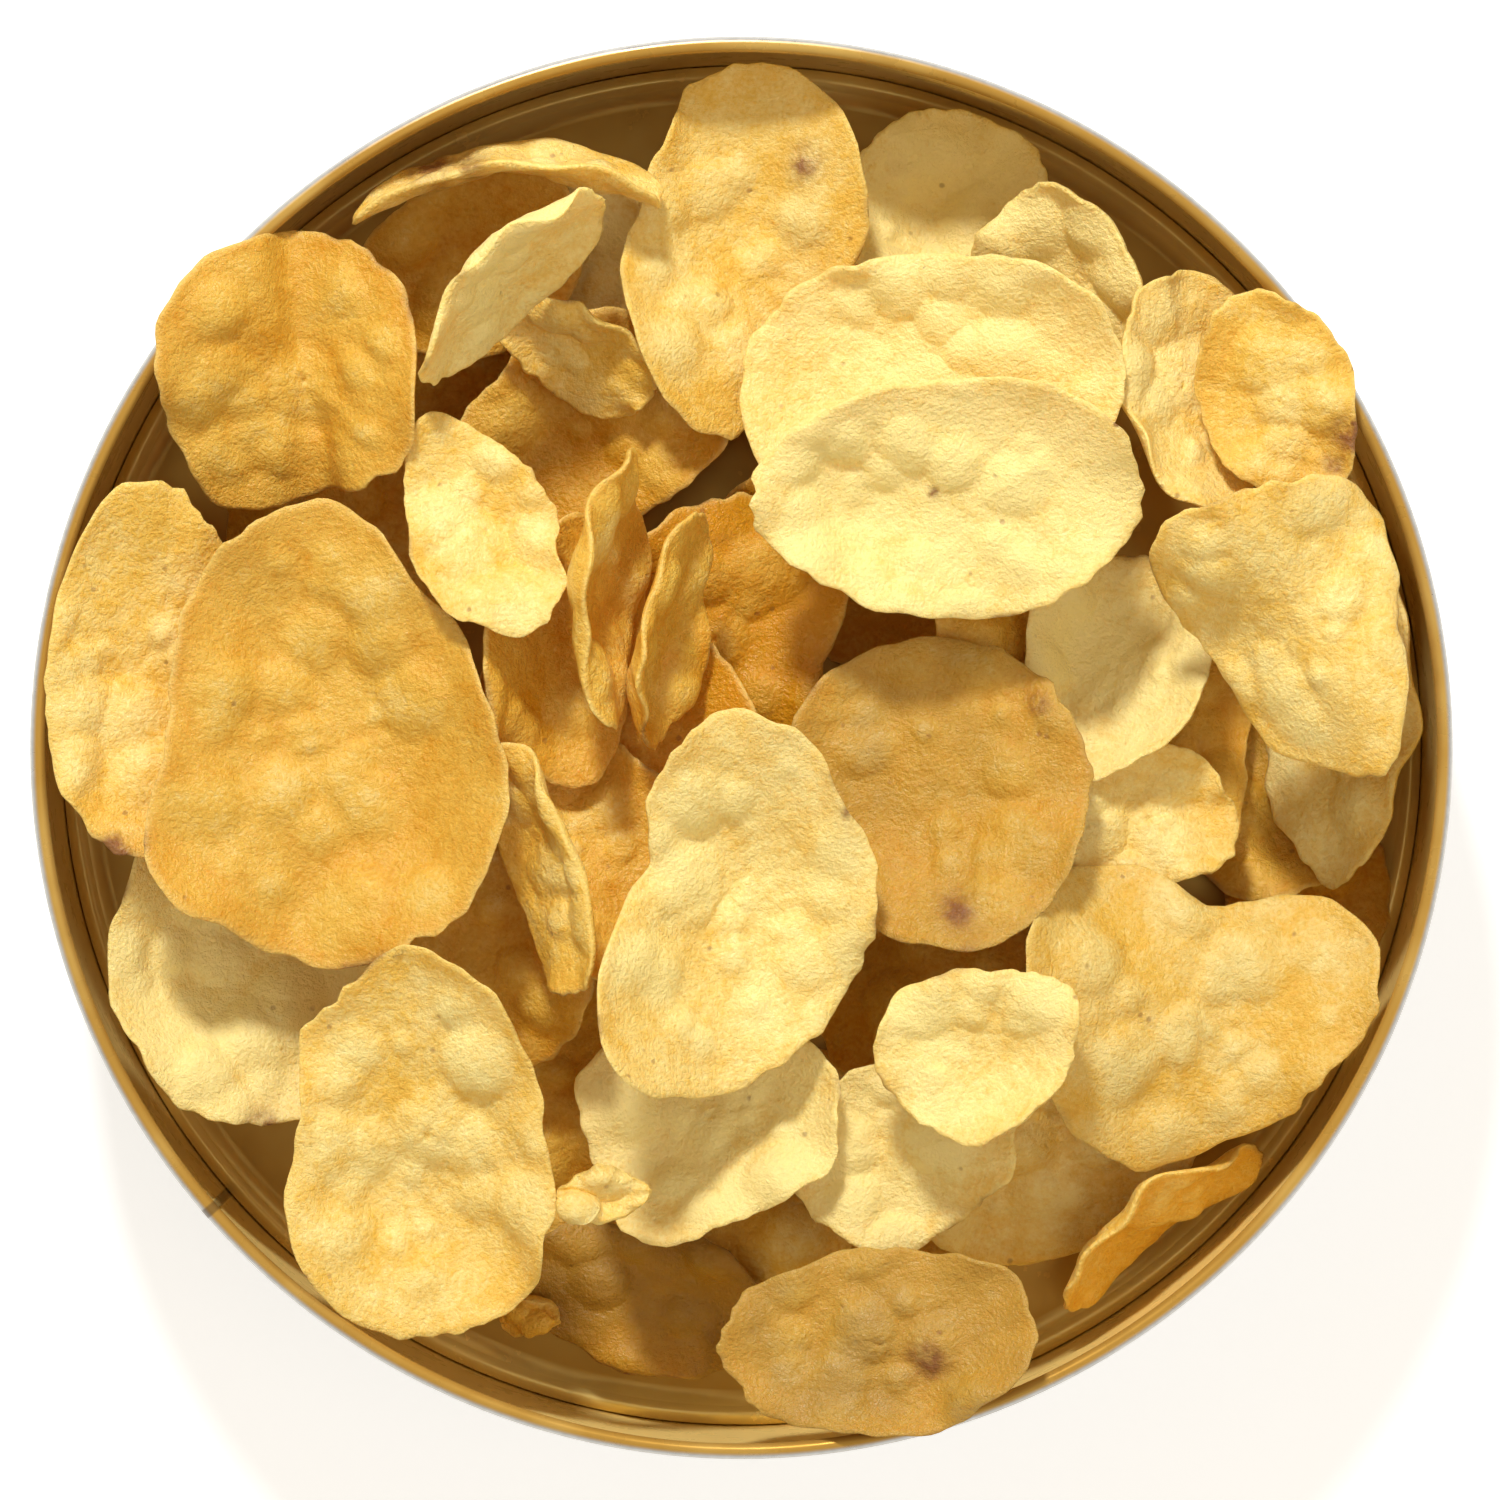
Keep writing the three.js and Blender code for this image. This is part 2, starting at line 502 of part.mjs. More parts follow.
// The place of a chip with a given lean: over its spot, inside the mouth, down on the heap
function rest(chip, geometry, heap, lip, lean) {
  const turn = turnOf(chip, lean);
  const spot = new THREE.Vector2(chip.at[0], chip.at[1]).multiplyScalar(PLACE_UNIT);
  const { world } = placedTriangles(geometry, turn);
  const clear = MOUTH_RADIUS - CHIP_GAP;
  if (!chip.rim) {
    for (let pass = 0; pass < SLIDES; pass += 1) {
      const reach = world.map((point) => Math.hypot(point.x + spot.x, point.y + spot.y));
      const furthest = reach.indexOf(Math.max(...reach));
      if (reach[furthest] <= clear) break;
      const point = new THREE.Vector2(world[furthest].x + spot.x, world[furthest].y + spot.y);
      spot.addScaledVector(point.normalize(), clear - reach[furthest] - 0.01);
    }
  }
  const place = new THREE.Matrix4().makeTranslation(spot.x, spot.y, 0).multiply(turn);
  const placed = placedTriangles(geometry, place);
  const overLip = chip.rim ? lip.lift(placed.faces) : -Infinity;
  const height = Math.max(heap.lift(placed.faces), overLip) + CHIP_GAP;
  const middle = placed.world.reduce((sum, point) => sum + point.z, 0) / placed.world.length;
  return { lean, spot, height, middle: middle + height };
}

// Leans the chip step by step as long as its middle comes lower
function settled(chip, geometry, heap, lip) {
  let best = rest(chip, geometry, heap, lip, [0, 0]);
  if (chip.upright) return best;
  for (const step of LEAN_STEPS) {
    for (let round = 0; round < LEAN_ROUNDS; round += 1) {
      for (const [nose, side] of [[step, 0], [-step, 0], [0, step], [0, -step]]) {
        const lean = [best.lean[0] + nose, best.lean[1] + side];
        if (Math.max(Math.abs(lean[0]), Math.abs(lean[1])) > LEAN_MOST) continue;
        const tried = rest(chip, geometry, heap, lip, lean);
        if (tried.middle < best.middle) best = tried;
      }
    }
  }
  return best;
}

function chipColour(height) {
  if (height > TIN_HEIGHT) return LIT_CHIP;
  return height > TIN_HEIGHT / 2 ? GOLDEN_CHIP : DEEP_CHIP;
}

function makeChips(floor) {
  const heap = new Heap();
  heap.add(placedTriangles(floor.geometry, floor.matrixWorld).faces);
  const lip = lipTop();
  return CHIPS.map((chip, index) => {
    const geometry = sliceGeometry(chip, index + 1);
    const best = settled(chip, geometry, heap, lip);
    const colour = chipColour(best.middle);
    const material = new THREE.MeshStandardMaterial({ color: colour, roughness: 0.6, metalness: 0 });
    const mesh = new THREE.Mesh(geometry, material);
    mesh.name = `chip_${chip.name}`;
    mesh.applyMatrix4(turnOf(chip, best.lean));
    mesh.position.set(best.spot.x, best.spot.y, best.height);
    mesh.updateMatrixWorld(true);
    heap.add(placedTriangles(geometry, mesh.matrixWorld).faces);
    return mesh;
  });
}

const chipTin = new THREE.Group();
const tinEnd = makeTinEnd();
chipTin.add(makeTinBody(), tinEnd);
const heapOfChips = new THREE.Group();
makeChips(tinEnd).forEach((mesh) => heapOfChips.add(mesh));
chipTin.add(heapOfChips);

export default chipTin;
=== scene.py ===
"""Potato chip tin: lacquered tinplate and a heap of fried slices, dressed around the frame."""

import math

import bpy
import numpy as np
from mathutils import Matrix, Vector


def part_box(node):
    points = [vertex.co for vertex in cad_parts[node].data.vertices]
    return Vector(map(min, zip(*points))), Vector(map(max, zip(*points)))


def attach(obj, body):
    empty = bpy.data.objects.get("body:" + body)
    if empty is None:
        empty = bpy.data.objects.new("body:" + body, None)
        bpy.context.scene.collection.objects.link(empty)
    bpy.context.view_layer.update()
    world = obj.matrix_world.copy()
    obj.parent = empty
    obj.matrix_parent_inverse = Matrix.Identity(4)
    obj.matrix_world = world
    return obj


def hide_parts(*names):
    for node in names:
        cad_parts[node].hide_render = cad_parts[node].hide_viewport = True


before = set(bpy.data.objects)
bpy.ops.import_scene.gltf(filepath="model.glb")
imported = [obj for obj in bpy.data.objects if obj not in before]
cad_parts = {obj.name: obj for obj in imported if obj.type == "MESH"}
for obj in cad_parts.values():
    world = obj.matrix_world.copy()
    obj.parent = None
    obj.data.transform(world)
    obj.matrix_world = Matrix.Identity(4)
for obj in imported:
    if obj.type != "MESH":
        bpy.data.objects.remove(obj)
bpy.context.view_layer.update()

bl_info = {
    "name": "Potato chip tin",
    "version": (1, 0, 0),
    "blender": (4, 5, 0),
    "location": "3D View > Sidebar > Chip tin",
    "description": "Dresses a shallow round tin and its heap of fried potato slices",
    "category": "Object",
}

MM = 0.001

# The rings of a slice in the frame, as shares of its outline
CAD_RINGS = (0.52, 0.84, 1.0)

# Share of the lip's width that is bare metal, from its outer edge inwards
LIP_BARE = 0.2

# Waves over a slice, longest and shortest, and the height of the short ones
LONG_WAVES = (34 * MM, 16 * MM)
SHORT_WAVES = (6 * MM, 2.4 * MM)
SHORT_WAVE_HEIGHT = 0.075 * MM

# A slice at least this far from its middle to its edge has the full ripple at its outline
FULL_RIPPLE_REACH = 24 * MM

# How far the rounded edge stands out past the two faces
EDGE_BULGE = 0.12 * MM

# Radius of the smallest blisters, and how much more the largest have
SMALL_BLISTER = 1.8 * MM
BLISTER_SPREAD = 4.4 * MM

# Patterns of the potato, in features to the metre: fried patches, mottle, grain and pits
PATCHES = 95.0
MOTTLE = 420.0
GRAIN = 1400.0
PITS = 900.0

# How much each pattern, the edge and the blisters change how fried a place looks; the blisters' paler tone
# is painted light, a glow through their thin tops
PATCHES_FRY = 0.80
MOTTLE_FRIES = 0.52
GRAIN_FRIES = 0.68
EDGE_FRIES = 0.12
BLISTERS_FRY_AND_GLOW = -0.20

# Patterns of the tinplate, in features to the metre: rolling streaks, lacquer clouds, smudges
STREAKS = 900.0
CLOUDS = 45.0
SMUDGES = 160.0

# Half the width of the studio floor, and how far it lies under the tin
FLOOR_HALF = 1.5
FLOOR_DROP = 0.05 * MM

# How fried each slice is, from 0, pale, to 1, deep orange; the values also paint light and shade: higher,
# darker, on slices that lie in shade or face away from the light, and lower, paler, on some slices that
# lie in shade
FRIED_AND_SHADE = {
    "north_east_bright": 0.02, "north_mid": 0.08, "north_tall": 0.36, "north_second": 0.0,
    "north_east_lit": 0.08, "north_east_curl": 0.24, "north_east_rim": 0.46, "east_twist": 0.30,
    "east_curl": 0.0, "east_wall": 0.20, "east_mid": 0.60, "east_orange": 0.80, "east_lip": 0.30,
    "south_east_saddle": 0.34, "south_east_lit": 0.12, "south_inner": 0.06, "south_mid": 0.18,
    "south_crescent": 0.0, "south_rim": 0.58, "south_west_long": 0.34, "west_low": 0.04,
    "west_big": 0.66, "west_rim": 0.40, "north_west_fold": 0.70, "north_west_strip": 0.06,
    "north_west_standing": 0.34, "north_west_inner": 0.32, "inner_pointed": 0.50,
    "inner_curve": 0.60, "centre_leaf_left": 0.74, "centre_leaf_steep": 0.62,
    "centre_leaf_right": 0.74, "south_east_standing": 0.46, "floor_centre": 1.05,
    "floor_centre_east": 1.05, "centre_west": 1.0, "north_inner": 0.85, "north_shade": 0.10,
    "north_edge": 0.40, "south_low": 0.66, "south_fragment": 0.30, "floor_south_east": 0.28,
    "floor_south": 0.40, "floor_south_shade": 0.50,
}
# Slices down in the heap are deep orange: partly their fried tone, partly painted shade of the hollows
# between slices
FRIED_AND_SHADE_BELOW = 0.78

# How dull and oily brown a slice is, from 0 to 1, with painted shade in it: slices that lie in shade or
# face away from the light get more; the others are 0
DULL_AND_SHADE = {
    "west_big": 0.16, "east_mid": 0.50, "south_rim": 0.62, "south_low": 0.80,
    "south_east_saddle": 0.16, "north_west_fold": 0.16, "north_tall": 0.08,
}

# Creases: x, y and azimuth in degrees of the fold's line in the plan, its depth and its
# half width, in millimetres
CREASED = {
    "north_west_fold": (-61.5, 56.0, 94.0, 3.0, 3.2),
    "east_curl": (50.0, 20.0, 70.0, 0.8, 4.0),
    "west_big": (-52.0, 4.0, 112.0, 0.7, 5.0),
}

# Scorched places of a slice: x and y in the plan and how far each reaches, in millimetres
SCORCHED = {
    "east_mid": [(42, 6, 1.5), (30.5, -23, 2.2), (31.5, -29, 1.2)],
    "south_mid": [(14, -4, 1.6), (15, -9, 1.0)],
    "north_east_rim": [(85, 44, 2.6), (83, 40, 1.6)],
    "north_west_standing": [(-44, 82, 3.2), (-38, 82, 2.0)],
    "south_rim": [(26, -86, 2.6)],
    "west_low": [(-68, -54, 2.4)],
    "west_rim": [(-88, -14, 2.0)],
    "north_tall": [(9, 83, 2.2)],
    "north_east_bright": [(27, 36, 0.7)],
}


def node_points(node):
    """Vertices of a frame node, as rows of x, y and z."""
    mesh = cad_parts[node].data
    flat = np.empty(len(mesh.vertices) * 3)
    mesh.vertices.foreach_get("co", flat)
    return flat.reshape(-1, 3)


def lip_radius():
    """Outer radius of the tin at its lip."""
    points = node_points("tin_body")
    upper = points[points[:, 2] > 0.5 * points[:, 2].max()]
    return float(np.hypot(upper[:, 0], upper[:, 1]).max())


def floor_top():
    """Height of the floor's inside face, at the middle of the tin."""
    points = node_points("tin_end")
    return float(points[np.hypot(points[:, 0], points[:, 1]) < 1 * MM, 2].max())


TIN_RADIUS = lip_radius()
TIN_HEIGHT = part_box("tin_body")[1][2]
FLOOR_TOP = floor_top()


class TinSizes(bpy.types.PropertyGroup):
    """Sizes of the tinplate."""

    sheet: bpy.props.FloatProperty(
        name="Sheet", description="Thickness of the tinplate", default=0.3 * MM, unit="LENGTH")
    layer_gap: bpy.props.FloatProperty(
        name="Layer gap", description="Between two layers of the bottom seam",
        default=0.25 * MM, unit="LENGTH")
    lip: bpy.props.FloatProperty(
        name="Lip", description="Diameter of the rolled lip", default=2.2 * MM, unit="LENGTH")
    lip_turn: bpy.props.FloatProperty(
        name="Lip turn", description="How far the lip rolls in",
        default=math.radians(250), subtype="ANGLE")
    seam_height: bpy.props.FloatProperty(
        name="Seam height", description="Height of the bottom seam", default=3.3 * MM, unit="LENGTH")
    ridge_rise: bpy.props.FloatProperty(
        name="Ridge rise", description="Rise of the ring at the floor's edge",
        default=1.0 * MM, unit="LENGTH")
    ridge_width: bpy.props.FloatProperty(
        name="Ridge width", description="Width of that ring", default=2.6 * MM, unit="LENGTH")
    lap_azimuth: bpy.props.FloatProperty(
        name="Lap azimuth", description="Where the side seam is", default=math.radians(221),
        subtype="ANGLE")
    lap_width: bpy.props.FloatProperty(
        name="Lap width", description="Width of the side seam", default=1.3 * MM, unit="LENGTH")
    lap_depth: bpy.props.FloatProperty(
        name="Lap depth", description="How far it stands in", default=0.35 * MM, unit="LENGTH")
    columns: bpy.props.IntProperty(
        name="Columns", description="Faces round the tin", default=256, min=32)


class TinColours(bpy.types.PropertyGroup):
    """Colours of the tinplate, inside and outside."""

    # Painted light and shade: one gold lacquer as a bright lit copy on the wall and ring and a dark shaded
    # copy on the lip and floor
    lacquer: bpy.props.FloatVectorProperty(
        name="Lacquer", description="Gold lacquer of the wall and the ring", subtype="COLOR",
        default=(1.0, 0.76, 0.26))
    lacquer_shaded: bpy.props.FloatVectorProperty(
        name="Deep lacquer", description="Gold lacquer of the lip and the floor", subtype="COLOR",
        default=(0.46, 0.255, 0.05))
    tinplate: bpy.props.FloatVectorProperty(
        name="Tinplate", description="Bare metal of the outside", subtype="COLOR",
        default=(0.52, 0.51, 0.48))
    rolled: bpy.props.FloatVectorProperty(
        name="Rolling marks", description="Darker streaks of the bare metal", subtype="COLOR",
        default=(0.36, 0.35, 0.32))
    burnt: bpy.props.FloatVectorProperty(
        name="Burnt seam", description="Heat tint along the welded seam", subtype="COLOR",
        default=(0.10, 0.06, 0.03))


class ChipLooks(bpy.types.PropertyGroup):
    """Shape and colour of the fried slices."""

    thickness: bpy.props.FloatProperty(
        name="Thickness", description="Thickness of a slice", default=1.3 * MM, unit="LENGTH")
    edge: bpy.props.FloatProperty(
        name="Edge", description="Thickness at its edge", default=0.75 * MM, unit="LENGTH")
    wave: bpy.props.FloatProperty(
        name="Wave", description="Height of the shallow waves", default=0.42 * MM, unit="LENGTH")
    ruffle: bpy.props.FloatProperty(
        name="Ruffle", description="Height of the waves at the edge", default=0.50 * MM, unit="LENGTH")
    nibble: bpy.props.FloatProperty(
        name="Nibble", description="How far the outline strays", default=0.30 * MM, unit="LENGTH")
    blister: bpy.props.FloatProperty(
        name="Blister", description="Height of the largest blisters", default=1.95 * MM, unit="LENGTH")
    blister_area: bpy.props.FloatProperty(
        name="Blister area", description="Surface for each blister, in square millimetres",
        default=62.0)
    rows: bpy.props.IntProperty(
        name="Rows", description="Rings of faces on each side", default=28, min=6)
    columns: bpy.props.IntProperty(
        name="Columns", description="Faces round a slice", default=112, min=16)
    pale: bpy.props.FloatVectorProperty(
        name="Pale", description="Lightly fried", subtype="COLOR", default=(0.98, 0.79, 0.30))
    golden: bpy.props.FloatVectorProperty(
        name="Golden", description="Well fried", subtype="COLOR", default=(0.84, 0.51, 0.075))
    toasted: bpy.props.FloatVectorProperty(
        name="Toasted", description="Fried deep orange", subtype="COLOR", default=(0.68, 0.30, 0.008))
    burnt: bpy.props.FloatVectorProperty(
        name="Burnt", description="Brown specks and edges", subtype="COLOR", default=(0.22, 0.075, 0.02))
    # Oily brown, also used as painted shade on slices that lie in shade
    dull_and_shade: bpy.props.FloatVectorProperty(
        name="Dull", description="Oily brown slices", subtype="COLOR", default=(0.34, 0.170, 0.016))
    # Painted light: this bright colour at the outermost edge stands in for light shining through the thin
    # edge
    rim: bpy.props.FloatVectorProperty(
        name="Rim", description="Thin edge that light shines through", subtype="COLOR",
        default=(0.97, 0.74, 0.24))


class StageLooks(bpy.types.PropertyGroup):
    """Camera, lamps and floor."""

    camera_height: bpy.props.FloatProperty(
        name="Camera height", description="Camera above the lip", default=0.95, unit="LENGTH")
    field: bpy.props.FloatProperty(
        name="Field", description="Width of the picture at the lip", default=0.2106, unit="LENGTH")
    aim: bpy.props.FloatVectorProperty(
        name="Aim", description="Middle of the picture", size=2, unit="LENGTH",
        default=(1.21 * MM, -0.22 * MM))
    nadir: bpy.props.FloatVectorProperty(
        name="Nadir", description="Point right under the camera", size=2, unit="LENGTH",
        default=(1.21 * MM, 8.0 * MM))
    key_place: bpy.props.FloatVectorProperty(
        name="Key place", description="Where the main lamp is", size=3, unit="LENGTH",
        default=(-0.15, 0.76, 0.82))
    key_power: bpy.props.FloatProperty(
        name="Key", description="Power of the main lamp", default=9.4, unit="POWER")
    key_size: bpy.props.FloatProperty(
        name="Key size", description="Width of the main lamp", default=0.15, unit="LENGTH")
    fill_place: bpy.props.FloatVectorProperty(
        name="Fill place", description="Where the overhead lamp is", size=3, unit="LENGTH",
        default=(0.45, -0.35, 1.1))
    fill_power: bpy.props.FloatProperty(
        name="Fill", description="Power of the overhead lamp", default=1.5, unit="POWER")
    fill_size: bpy.props.FloatProperty(
        name="Fill size", description="Width of the overhead lamp", default=0.9, unit="LENGTH")
    sky: bpy.props.FloatProperty(
        name="Sky", description="Strength of the light all round", default=0.54)
    sky_tint: bpy.props.FloatVectorProperty(
        name="Sky tint", description="Colour of the light all round", subtype="COLOR",
        default=(1.0, 0.89, 0.72))
    floor: bpy.props.FloatVectorProperty(
        name="Floor", description="Colour of the floor", subtype="COLOR", default=(0.92, 0.92, 0.92))
    floor_lift: bpy.props.FloatProperty(
        name="Floor lift", description="How much whiter the floor looks than it is lit", default=0.45)


# Meshes

def put_mesh(name, points, faces, attributes, material, nodes):
    """Makes a smooth piece from whole arrays, rides it on the body and lets it stand for nodes."""
    mesh = bpy.data.meshes.new(name)
    mesh.from_pydata(points.tolist(), [], [row for block in faces for row in block.tolist()])
    for label, values in attributes.items():
        layer = mesh.attributes.new(label, "FLOAT", "POINT")
        layer.data.foreach_set("value", np.ascontiguousarray(values, dtype=np.float32))
    mesh.shade_smooth()
    mesh.materials.append(material)
    mesh.validate()
    piece = bpy.data.objects.new(name, mesh)
    bpy.context.scene.collection.objects.link(piece)
    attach(piece, "root")
    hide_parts(*nodes)
    return piece


def sleeve_faces(rows, columns, start=0):
    """Quads of a grid that closes on itself along its columns; the rows run the first way."""
    row = np.arange(rows - 1)[:, None] * columns + start
    here = np.arange(columns)[None, :]
    there = (here + 1) % columns
    corners = [row + here, row + columns + here, row + columns + there, row + there]
    return np.stack(corners, axis=-1).reshape(-1, 4)


def cap_faces(pole, ring_start, columns, turn):
    """Triangles from a pole to a ring, turned one way or the other."""
    here = ring_start + np.arange(columns)
    there = ring_start + (np.arange(columns) + 1) % columns
    pair = (here, there) if turn > 0 else (there, here)
    return np.stack([np.full(columns, pole), *pair], axis=-1)


# The tinplate

def rounded(points, radius, steps=6):
    """A polyline with each inner corner replaced by an arc of the given radius."""
    done = [np.asarray(points[0])]
    for before, corner, after in zip(points[:-2], points[1:-1], points[2:]):
        before, corner, after = (np.asarray(p, dtype=float) for p in (before, corner, after))
        into = (before - corner) / np.linalg.norm(before - corner)
        out = (after - corner) / np.linalg.norm(after - corner)
        half = 0.5 * math.acos(float(np.clip(into @ out, -1, 1)))
        cut = radius / math.tan(half)
        middle = (into + out) / np.linalg.norm(into + out)
        centre = corner + middle * radius / math.sin(half)
        first = corner + into * cut - centre
        last = corner + out * cut - centre
        share = np.linspace(0, 1, steps + 1)[:, None]
        swing = math.pi - 2 * half
        arc = (np.sin((1 - share) * swing) * first + np.sin(share * swing) * last) / math.sin(swing)
        done.extend(centre + arc)
    done.append(np.asarray(points[-1], dtype=float))
    return np.array(done)


def sheet_sides(line, sheet):
    """The two faces of a sheet whose middle follows a line of radius and height."""
    along = np.gradient(line, axis=0)
    along /= np.linalg.norm(along, axis=1)[:, None]
    aside = np.stack([-along[:, 1], along[:, 0]], axis=1) * sheet / 2
    return line + aside, line - aside


def turned(profile, angles):
    """A profile of radius and height carried round the axis at the given angles."""
    radius, height = profile[:, 0][:, None], profile[:, 1][:, None]
    flat = np.ones_like(angles)[None, :]
    return np.stack([radius * np.cos(angles), radius * np.sin(angles), height * flat], axis=-1)


def angles_with_seam(sizes):
    """Even angles round the tin, with closer ones across the side seam."""
    even = np.arange(sizes.columns) * 2 * math.pi / sizes.columns
    half = sizes.lap_width / TIN_RADIUS
    close = sizes.lap_azimuth + np.linspace(-half, half, 21)
    apart = np.abs((even - sizes.lap_azimuth + math.pi) % (2 * math.pi) - math.pi) > half * 1.1
    return np.sort(np.concatenate([even[apart], close]))


def seam_share(angles, sizes):
    """1 on the side seam, 0 off it, with short slopes between."""
    off = np.abs((angles - sizes.lap_azimuth + math.pi) % (2 * math.pi) - math.pi) * TIN_RADIUS
    return np.clip((sizes.lap_width * 0.62 - off) / (sizes.lap_width * 0.16), 0, 1)


def body_line(sizes):
    """Middle of the wall's sheet: hook at the foot, straight side, lip rolled inwards."""
    pitch = sizes.sheet + sizes.layer_gap
    wall = TIN_RADIUS - sizes.sheet / 2
    hook = wall + 2 * pitch
    hook_floor = sizes.sheet / 2 + pitch
    lip = (sizes.lip - sizes.sheet) / 2
    middle = TIN_HEIGHT - sizes.lip / 2
    foot = rounded([
        (hook, sizes.seam_height - sizes.sheet / 2 - 2 * pitch),
        (hook, hook_floor),
        (wall, hook_floor),
        (wall, hook_floor + 4 * MM),
    ], 0.4 * MM)
    side = np.stack([np.full(14, wall), np.linspace(foot[-1][1], middle, 15)[1:]], axis=1)
    turn = np.linspace(0, sizes.lip_turn, 25)[1:]
    roll = np.stack([wall - lip + lip * np.cos(turn), middle + lip * np.sin(turn)], axis=1)
    return np.concatenate([foot, side, roll])


def end_line(sizes):
    """Middle of the end's sheet: floor, rounded ring, chuck wall and the hook over the wall's."""
    pitch = sizes.sheet + sizes.layer_gap
    wall = TIN_RADIUS - sizes.sheet / 2
    chuck = wall - pitch
    floor = FLOOR_TOP - sizes.sheet / 2
    base = sizes.sheet / 2
    inner = chuck - sizes.ridge_width
    flat = np.stack([np.linspace(0.5 * MM, inner, 40)[:-1], np.full(39, floor)], axis=1)
    share = np.linspace(-1, 0.8, 15)
    ring = np.stack([chuck + (share - 1) * sizes.ridge_width / 2,
                     floor + sizes.ridge_rise * np.cos(share * math.pi / 2)], axis=1)
    seam = rounded([
        tuple(ring[-1]),
        (chuck, floor + 0.05 * MM),
        (chuck, base),
        (wall + 3 * pitch, base),
        (wall + 3 * pitch, sizes.seam_height - sizes.sheet / 2),
        (wall + pitch, sizes.seam_height - sizes.sheet / 2),
        (wall + pitch, base + 2 * pitch + sizes.sheet / 2),
    ], 0.16 * MM)
    return np.concatenate([flat, ring, seam[1:]])


def make_body(sizes, material):
    """The wall: both faces of its sheet carried round the axis, closed at both sheet edges."""
    outside, inside = (side for side in sheet_sides(body_line(sizes), sizes.sheet)[::-1])
    profile = np.concatenate([outside, inside[::-1]])
    inner = np.concatenate([np.zeros(len(outside)), np.ones(len(inside))])
    angles = angles_with_seam(sizes)
    points = turned(profile, angles)
    seam = seam_share(angles, sizes)
    low = FLOOR_TOP + sizes.ridge_rise
    high = TIN_HEIGHT - sizes.lip
    on_wall = (inner > 0) & (profile[:, 1] > low) & (profile[:, 1] < high)
    step_in = on_wall[:, None] * seam[None, :] * sizes.lap_depth
    spoke = np.stack([np.cos(angles), np.sin(angles), np.zeros_like(angles)], axis=-1)
    points = points - step_in[..., None] * spoke[None, :, :]
    rows, columns = points.shape[:2]
    looped = sleeve_faces(rows, columns)
    last = (rows - 1) * columns
    here = np.arange(columns)
    there = (here + 1) % columns
    closing = np.stack([last + here, here, there, last + there], axis=-1)
    on_lip = profile[:, 1] > TIN_HEIGHT - sizes.lip * 1.02
    outermost = np.clip((profile[:, 0] - TIN_RADIUS) / (sizes.lip * LIP_BARE) + 2, 0, 1)
    bare = np.where(on_lip, outermost, 1.0 - inner)
    attributes = {
        "bare": np.repeat(bare, columns),
        # 1 on the wall for the bright lit lacquer, 0 on the lip for the dark shaded one: painted light and
        # shade
        "lacquer_lit_share": np.repeat(np.where(on_lip, 0.0, 1.0), columns),
        "seam": (np.ones(rows)[:, None] * seam[None, :]).ravel(),
    }
    return put_mesh("wall_with_lip", points.reshape(-1, 3), outward([looped, closing], points),
                    attributes, material, ["tin_body"])


def make_end(sizes, material):
    """The floor: both faces of its sheet carried round the axis, with a pole on each."""
    upper, lower = sheet_sides(end_line(sizes), sizes.sheet)
    profile = np.concatenate([upper, lower[::-1]])
    angles = np.arange(sizes.columns) * 2 * math.pi / sizes.columns
    grid = turned(profile, angles)
    rows, columns = grid.shape[:2]
    poles = np.array([[0, 0, upper[0][1]], [0, 0, lower[0][1]]])
    points = np.concatenate([poles, grid.reshape(-1, 3)])
    faces = [
        sleeve_faces(rows, columns, start=2),
        cap_faces(0, 2, columns, 1),
        cap_faces(1, 2 + (rows - 1) * columns, columns, -1),
    ]
    inner = np.concatenate([np.zeros(len(upper)), np.ones(len(lower))])
    on_ring = np.where(profile[:, 0] > TIN_RADIUS - 1.6 * sizes.ridge_width, 1.0, 0.0)
    attributes = {"bare": np.concatenate([[0.0, 1.0], np.repeat(inner, columns)]),
                  # 1 on the ring for the bright lit lacquer, 0 on the floor for the dark shaded one:
                  # painted light and shade
                  "lacquer_lit_share": np.concatenate([[0.0, 0.0], np.repeat(on_ring, columns)]),
                  "seam": np.zeros(len(points))}
    return put_mesh("floor_with_seam", points, faces, attributes, material, ["tin_end"])


def outward(blocks, points):
    """The faces, turned over if the closed grid that they make holds a negative volume."""
    flat = points.reshape(-1, 3)
    volume = sum(float(np.einsum("ij,ij->", flat[b[:, 0]], np.cross(flat[b[:, 1]], flat[b[:, 2]]))
                       + np.einsum("ij,ij->", flat[b[:, 0]], np.cross(flat[b[:, 2]], flat[b[:, 3]])))
                 for b in blocks)
    return [block[:, ::-1] if volume < 0 else block for block in blocks]


# The slices

def merged(node):
    """Merged vertices of a frame node and its triangles."""
    points = node_points(node)
    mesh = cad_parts[node].data
    corners = np.empty(len(mesh.loops), dtype=np.int64)
    mesh.loops.foreach_get("vertex_index", corners)
    _, first, index = np.unique(np.round(points / 1e-6).astype(np.int64), axis=0,
                                return_index=True, return_inverse=True)
    return points[first], index.ravel()[corners].reshape(-1, 3)


